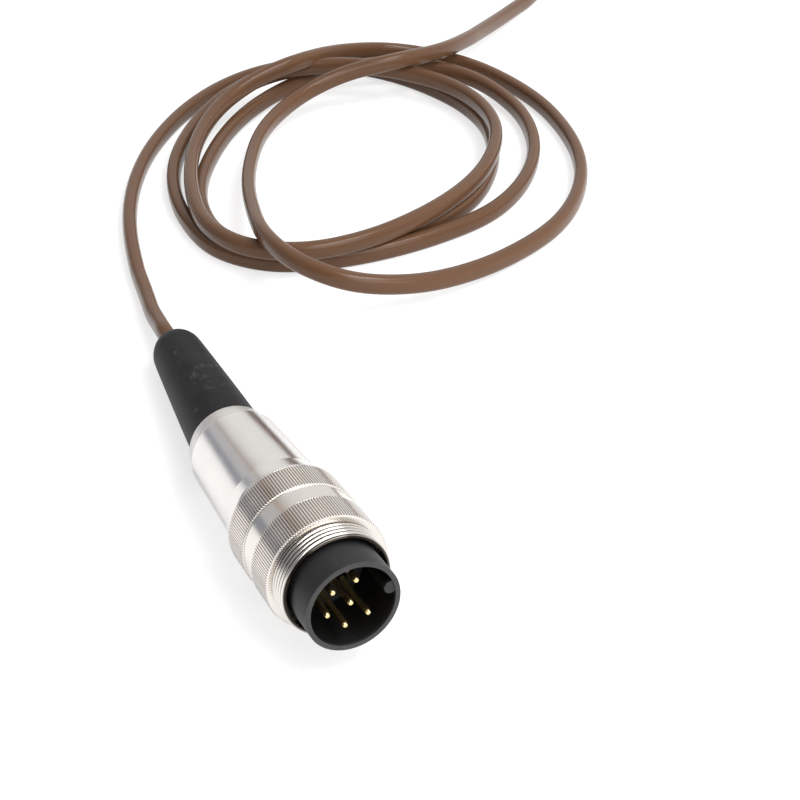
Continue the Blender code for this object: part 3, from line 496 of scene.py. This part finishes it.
def handle(probe, plastic, rubber, steel):
    """The handle that the photograph doesn't show: grip tube, rubber mouth, steel nose and ground needle."""
    grooves = []
    for k in range(GRIP_GROOVES):
        at = GRIP_GROOVE_FROM + GRIP_GROOVE_PITCH * k
        grooves += [
            (GRIP_R, at - 0.7), (5.75, at - 0.55), (5.6, at - 0.3), (5.6, at + 0.3), (5.75, at + 0.55),
            (GRIP_R, at + 0.7),
        ]
    tube = turned("grip", [
        (3.9, 10.0), (5.0, 10.0), (5.45, 10.12), (5.8, 10.5), (GRIP_R, 11.2), *grooves, (GRIP_R, 80.8), (5.8, 81.5),
        (5.45, 81.88), (5.0, 82.0), (4.4, 82.0), (4.4, 12.0), (3.9, 12.0), (3.9, 10.0),
    ], 160, joined=True)
    laid(tube, probe, plastic, "probe", ["handle"], 30.0)
    mouth = turned("grip_boot", [
        (2.2, 0.0), (2.4, 0.0), (2.58, 0.12), (2.7, 0.4), (2.85, 1.6), (3.15, 4.6), (3.6, 9.0), (3.6, 12.3),
        (4.1, 12.3), (4.1, 14.3), (2.2, 14.3), (2.2, 0.0),
    ], 96, joined=True)
    laid(mouth, probe, rubber, "probe", ["handle_boot"], 35.0)
    nose = turned("nose", [
        (1.95, 73.3), (4.1, 73.3), (4.1, 82.3), (4.8, 82.3), (4.8, 84.3), (4.7, 84.6), (2.75, 89.6), (2.6, 89.9),
        (2.45, 90.2), (2.3, 90.3), (1.95, 90.3), (1.95, 73.3),
    ], 128, joined=True)
    laid(nose, probe, steel, "probe", ["needle_holder"], 30.0)
    point = turned("needle_tube", [
        (1.1, 78.3), (1.65, 78.3), (1.65, 178.3), (1.05, 180.1), (0.5, 181.8), (0.06, 183.25), (0.02, 183.3),
    ], 64)
    laid(point, probe, steel, "probe", ["needle"], 30.0)


def smooth_line(points, step, parts=24, rounds=60):
    """A smooth line through these points: parts to each gap, averaged for some rounds, then evenly spaced."""
    fine = []
    for i in range(len(points) - 1):
        a, b, c, d = (points[min(max(i + k, 0), len(points) - 1)] for k in (-1, 0, 1, 2))
        for k in range(parts):
            t = k / parts
            fine.append(
                0.5 * (2 * b + (c - a) * t + (2 * a - 5 * b + 4 * c - d) * t**2 + (3 * b - a - 3 * c + d) * t**3)
            )
    fine.append(points[-1])
    for _ in range(rounds):
        inner = [(p + 2 * q + r) / 4 for p, q, r in zip(fine, fine[1:], fine[2:])]
        fine = [fine[0], *inner, fine[-1]]
    run = [0.0]
    for p, q in zip(fine, fine[1:]):
        run.append(run[-1] + (q - p).length)
    count, even, k = round(run[-1] / step), [], 0
    for i in range(count + 1):
        want = run[-1] * i / count
        while k < len(run) - 2 and run[k + 1] < want:
            k += 1
        even.append(fine[k].lerp(fine[k + 1], (want - run[k]) / (run[k + 1] - run[k])))
    return even


def lead_line(plug, probe):
    """The lead's middle line, in metres: out of the boot, along the route and into the handle's mouth."""
    shift = Vector(LAYOUT)
    points = [
        plug @ (Vector((BOOT_LEAN * (s - BOOT_LEAN_FROM), 0, s)) * MM)
        for s in (LEAD_FROM, 62.0, 72.0, BOOT_END + 1)
    ]
    points += [(Vector(p) + shift) * MM for p in ROUTE]
    points += [probe @ (Vector((0, 0, s)) * MM) for s in (-5.0, 0.0, LEAD_IN_HANDLE)]
    line = smooth_line(points, LEAD_STEP * MM)
    for point in line:
        point.z = max(point.z, LEAD_HIGH / 2 * MM)
    return line


def lead(plug, probe, finish):
    """The flat lead: a full oval section carried along its line, with its own length and width as UV."""
    line = lead_line(plug, probe)
    section = []
    for k in range(SECTION_POINTS):
        across, up = math.cos(math.tau * k / SECTION_POINTS), math.sin(math.tau * k / SECTION_POINTS)
        section.append((
            math.copysign(abs(across) ** (2 / LEAD_FULLNESS), across) * LEAD_THICK / 2,
            math.copysign(abs(up) ** (2 / LEAD_FULLNESS), up) * LEAD_HIGH / 2,
        ))
    mesh = bpy.data.meshes.new("lead_jacket")
    shape = bmesh.new()
    along = shape.loops.layers.uv.new("along")
    rings, run = [], [0.0]
    for i, at in enumerate(line):
        ahead = (line[min(i + 1, len(line) - 1)] - line[max(i - 1, 0)]).normalized()
        side = ahead.cross(Vector((0, 0, 1))).normalized()
        up = side.cross(ahead)
        if i:
            run.append(run[-1] + (at - line[i - 1]).length)
        # The lead never lies quite upright
        roll = math.radians(3.5) * math.sin(run[-1] * 41.0 + 0.6) + math.radians(2.5) * math.sin(run[-1] * 97.0)
        side, up = side * math.cos(roll) + up * math.sin(roll), up * math.cos(roll) - side * math.sin(roll)
        rings.append([shape.verts.new(at + (side * x + up * z) * MM) for x, z in section])
    for i in range(len(rings) - 1):
        for k in range(SECTION_POINTS):
            n = (k + 1) % SECTION_POINTS
            face = shape.faces.new((rings[i][k], rings[i + 1][k], rings[i + 1][n], rings[i][n]))
            for loop, (u, v) in zip(
                face.loops, ((run[i], k), (run[i + 1], k), (run[i + 1], k + 1), (run[i], k + 1))
            ):
                loop[along].uv = (u, v / SECTION_POINTS)
    for ring, flip in ((rings[0], True), (rings[-1], False)):
        shape.faces.new(ring[::-1] if flip else ring)
    bmesh.ops.recalc_face_normals(shape, faces=shape.faces)
    shape.to_mesh(mesh)
    shape.free()
    made = bpy.data.objects.new("lead_jacket", mesh)
    bpy.context.scene.collection.objects.link(made)
    laid(made, Matrix.Identity(4), finish, "probe", ["lead"], 60.0)
    line[::4] + [line[-1]]


def moulded_plastic(plug):
    """Black moulded plastic with a fine matt grain, a paler worn rim, faint rub marks, and painted shade deep inside
    the socket.
    """
    made = Finish("moulded_plastic", roughness=0.5, Specular_IOR_Level=0.4)
    spot, own = made.place(), made.place(plug)
    across, up, along = (made.split(own, axis) for axis in range(3))
    cloud = made.noise(spot, 260.0, 4.0)
    grain = made.noise(spot, 5200.0, 2.0)
    rubs = made.between(made.noise(spot, 900.0, 5.0, 0.7, (1.0, 0.18, 1.0)), 0.6, 0.78)
    tone = made.blend(cloud, (0.007, 0.0068, 0.0078), (0.0135, 0.013, 0.0148))
    rim = 1 - made.between(along, 0.0, 0.3 * MM)
    tone = made.blend(rubs * 0.3, tone, (0.06, 0.06, 0.062))
    # Painted shade: the socket's inside, from just behind the rim inwards, is made nearly black where deep shade falls
    socket_painted_shade = 1 - made.between((across * across + up * up) ** 0.5, 6.12 * MM, 6.3 * MM)
    tone = made.blend(socket_painted_shade * made.between(along, 0.2 * MM, 0.9 * MM), tone, (0.0015, 0.0015, 0.0015))
    made.set("Base Color", made.blend(rim * (0.6 + cloud * 0.6), tone, (0.036, 0.0355, 0.035)))
    made.set("Roughness", 0.44 + cloud * 0.1 + rubs * 0.08)
    made.set("Normal", made.bump(grain, 0.00001))
    return made


def boot_rubber():
    """Black rubber, duller than the plastic, with pale scuffs and a little dust."""
    made = Finish("boot_rubber", roughness=0.55, Specular_IOR_Level=0.22)
    spot = made.place()
    cloud = made.noise(spot, 180.0, 4.0)
    grain = made.noise(spot, 3800.0, 3.0)
    scuffs = made.between(made.noise(spot, 300.0, 7.0, 0.8), 0.56, 0.68)
    tone = made.blend(made.between(cloud, 0.3, 0.7), (0.0022, 0.002, 0.003), (0.009, 0.0085, 0.0105))
    made.set("Base Color", made.blend(scuffs * 0.35, tone, (0.16, 0.16, 0.175)))
    made.set("Roughness", 0.5 + cloud * 0.12 + scuffs * 0.12)
    made.set("Normal", made.bump(grain, 0.00002))
    return made


def lead_jacket():
    """Brown plastic jacket: half glossy, with faint drawn lines along it and slow changes of shade."""
    made = Finish("lead_jacket", roughness=0.3, Specular_IOR_Level=0.24)
    run = made.node("UVMap", {"uv_map": "along"})
    shade = made.noise(run, 30.0, 3.0, 0.5, (1.0, 0.02, 1.0))
    drawn = made.noise(run, 60.0, 3.0, 0.6, (0.5, 1.0, 1.0))
    fine = made.noise(made.place(), 2600.0, 3.0)
    tone = made.blend(shade, (0.102, 0.050, 0.0255), (0.127, 0.0635, 0.033))
    made.set("Base Color", made.blend(made.between(drawn, 0.5, 0.75) * 0.3, tone, (0.165, 0.092, 0.053)))
    made.set("Roughness", 0.14 + drawn * 0.1 + fine * 0.04)
    made.set("Normal", made.bump(drawn * 0.7 + fine * 0.3, 0.00002))
    return made


def turned_nickel(name, frame, colour, roughness, lines, depth, dirt_and_shade=(), rough_from=None):
    """Nickel on turned brass: fine lines round the axis, a soft bloom and handling marks.

    Dirt and painted shade darken hollows: from one station to another, below a radius and fully below a smaller one.
    Beyond rough_from, a station, the surface is satin.
    """
    made = Finish(name, roughness=roughness, metallic=1.0)
    spot = made.place(frame)
    rings = made.noise(spot, lines, 4.0, 0.7, (0.02, 0.02, 1.0))
    bloom = made.noise(spot, 190.0, 4.0)
    marks = made.between(made.noise(spot, 1500.0, 5.0, 0.8), 0.66, 0.8)
    pale = tuple(min(1.0, c * 1.05) for c in colour)
    dull = tuple(c * 0.90 for c in colour)
    tone = made.blend(bloom, dull, pale)
    if dirt_and_shade:
        x, y, z = (made.split(spot, axis) for axis in range(3))
        radius = (x * x + y * y) ** 0.5
        # Painted shade, with some dirt: hollows below the given radii are darkened
        for start, end, low, high, dark in dirt_and_shade:
            past_start = made.between(z, (start - 0.03) * MM, start * MM)
            inside = past_start * made.between(z, end * MM, (end + 0.03) * MM, 1, 0)
            tone = made.blend(inside * made.between(radius, low * MM, high * MM, 1, 0), tone, dark)
    made.set("Base Color", tone)
    satin = 0.0
    if rough_from is not None:
        satin = made.between(made.split(spot, 2), rough_from * MM, (rough_from + 0.05) * MM)
    made.set("Roughness", roughness + rings * 0.08 + bloom * 0.05 + marks * 0.1 + satin * 0.22 - 0.05)
    made.set("Normal", made.bump(rings, depth))
    return made


def ring_nickel(plug):
    """The ring's bright nickel, with dirt and painted shade in the thread's root and between the teeth."""
    teeth_dirt_and_shade, front = (0.42, 0.37, 0.34), RING_FRONT + THREAD_LENGTH
    rear = front + KNURL_WIDTH + GROOVE_WIDTH
    return turned_nickel("ring_nickel", plug, (0.78, 0.745, 0.70), 0.16, 9000.0, 0.000002, [
        # Painted shade, with some dirt: the thread's root and flanks nearly black, the valleys between the teeth grey
        (RING_FRONT, front - 0.05, THREAD_R - 0.36, THREAD_R - 0.06, (0.03, 0.025, 0.02)),
        (front + 0.1, front + KNURL_WIDTH - 0.1, KNURL_R - 0.15, KNURL_R - 0.02, teeth_dirt_and_shade),
        (rear + 0.1, rear + KNURL_WIDTH - 0.1, KNURL_R - 0.15, KNURL_R - 0.02, teeth_dirt_and_shade),
    ])


def plain_metal(name, colour, roughness):
    """A drawn or plated metal with a slight mottle."""
    made = Finish(name, roughness=roughness, metallic=1.0)
    mottle = made.noise(made.place(), 1400.0, 4.0)
    made.set("Base Color", made.blend(mottle, tuple(c * 0.86 for c in colour), colour))
    made.set("Roughness", roughness - 0.04 + mottle * 0.1)
    return made


def dress(finish, *names):
    """Give carried-over CAD nodes this finish."""
    for name in names:
        for slot in bpy.data.objects[name].material_slots:
            slot.link = "OBJECT"
            slot.material = finish.material


def floor():
    """A pale floor that keeps the shadows, and shows white to the camera and in the metal."""
    alone()
    bpy.ops.mesh.primitive_plane_add(size=6.0)
    made = bpy.context.object
    made.name = "floor"
    finish = Finish("floor", roughness=0.9, Specular_IOR_Level=0.0, Emission_Strength=1.0)
    rays = finish.node("LightPath")
    seen, gloss, through = (
        Value(finish, rays.socket.node.outputs[f"Is {kind} Ray"]) for kind in ("Camera", "Glossy", "Transmission")
    )
    share = finish.maths("ADD", seen + gloss, through, clamp=True)
    finish.set("Base Color", finish.blend(share, (0.90, 0.90, 0.90), (0.40, 0.40, 0.40)))
    finish.set("Emission Color", finish.blend(share, (0.0, 0.0, 0.0), (0.68, 0.68, 0.68)))
    made.data.materials.append(finish.material)


def studio():
    """Soft light: a room that is brightest to the right, a soft lamp above, and a larger one low in front."""
    world = bpy.data.worlds.new("studio")
    bpy.context.scene.world = world
    world.use_nodes = True
    tree = world.node_tree
    sky = Finish("studio", tree=tree)
    way = sky.node("TexCoord", out="Generated")
    x, y, z = (sky.split(way, axis) for axis in range(3))
    turn = sky.maths("ARCTAN2", z, x) / math.pi  # 0 to the right, 0.5 up, 1 to the left
    bands = sky.node("ValToRGB", {"stops": [
        (0.0, (0.95, 0.94, 0.93)), (0.30, (0.95, 0.94, 0.93)), (0.46, (0.86, 0.85, 0.84)),
        (0.525, (0.79, 0.77, 0.76)), (0.59, (0.64, 0.62, 0.61)), (0.64, (0.51, 0.43, 0.39)),
        (0.66, (0.51, 0.43, 0.39)), (0.69, (0.57, 0.57, 0.58)), (0.86, (0.57, 0.57, 0.59)),
        (0.885, (0.30, 0.32, 0.36)), (1.0, (0.30, 0.32, 0.36)),
    ]}, {"Fac": turn})
    lit = sky.maths("MAXIMUM", sky.between(y, -0.35, -0.05), sky.between(x, 0.45, 0.75))
    bands = sky.blend(lit, (0.24, 0.24, 0.25), bands)  # the room is darker behind the camera
    rays = sky.node("LightPath")
    seen = Value(sky, rays.socket.node.outputs["Is Camera Ray"])
    back = tree.nodes["Background"]
    tree.links.new(sky.blend(seen, bands, (1.0, 1.0, 1.0)).socket, back.inputs["Color"])
    back.inputs["Strength"].default_value = 1.0
    for name, wide, deep, power, place in (
        ("overhead", 0.6, 0.3, 6.3, (0.26, -0.42, 0.85)),
        ("fill", 0.8, 0.8, 6.5, (0.12, -0.9, 0.45)),
    ):
        lamp = bpy.data.lights.new(name, "AREA")
        lamp.shape, lamp.size, lamp.size_y, lamp.energy = "RECTANGLE", wide, deep, power
        made = bpy.data.objects.new(name, lamp)
        bpy.context.scene.collection.objects.link(made)
        made.location = place
        made.rotation_euler = (-made.location).to_track_quat("-Z", "Y").to_euler()


def main():
    bpy.context.scene.view_settings.view_transform = "Standard"
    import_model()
    plug, probe = plug_frame(), probe_frame()
    camera()

    plastic, rubber, jacket = moulded_plastic(plug), boot_rubber(), lead_jacket()
    gold = plain_metal("pin_gold", (1.0, 0.78, 0.40), 0.24)
    bright = ring_nickel(plug)
    satin = turned_nickel(
        "sleeve_nickel", plug, (0.78, 0.755, 0.73), 0.16, 7000.0, 0.000003, rough_from=SLEEVE_END + 0.3,
    )
    steel = turned_nickel("needle_steel", probe, (0.70, 0.70, 0.70), 0.22, 5000.0, 0.000003)

    lead(plug, probe, jacket)
    shroud(plug, plastic)
    pins(plug, gold)
    knurled_ring(plug, bright)
    ring_thread(plug, bright)
    sleeve(plug, satin)
    boot(plug, rubber)
    handle(probe, plastic, rubber, steel)

    dress(satin, "half_shell_left", "half_shell_right")
    dress(
        plain_metal("tin_plate", (0.70, 0.70, 0.69), 0.34),
        "cable_clamp_lower", "cable_clamp_upper", "lead_collar", "splice_copper", "splice_alloy", "hot_junction",
    )
    dress(steel, "clamp_screw_1", "clamp_screw_2")
    dress(
        plain_metal("bare_copper", (0.80, 0.43, 0.28), 0.3),
        "core_copper", "handle_core_copper", "probe_wire_copper",
    )
    dress(
        plain_metal("bare_alloy", (0.62, 0.60, 0.57), 0.34), "core_alloy", "handle_core_alloy", "probe_wire_alloy",
    )

    floor()
    studio()


main()
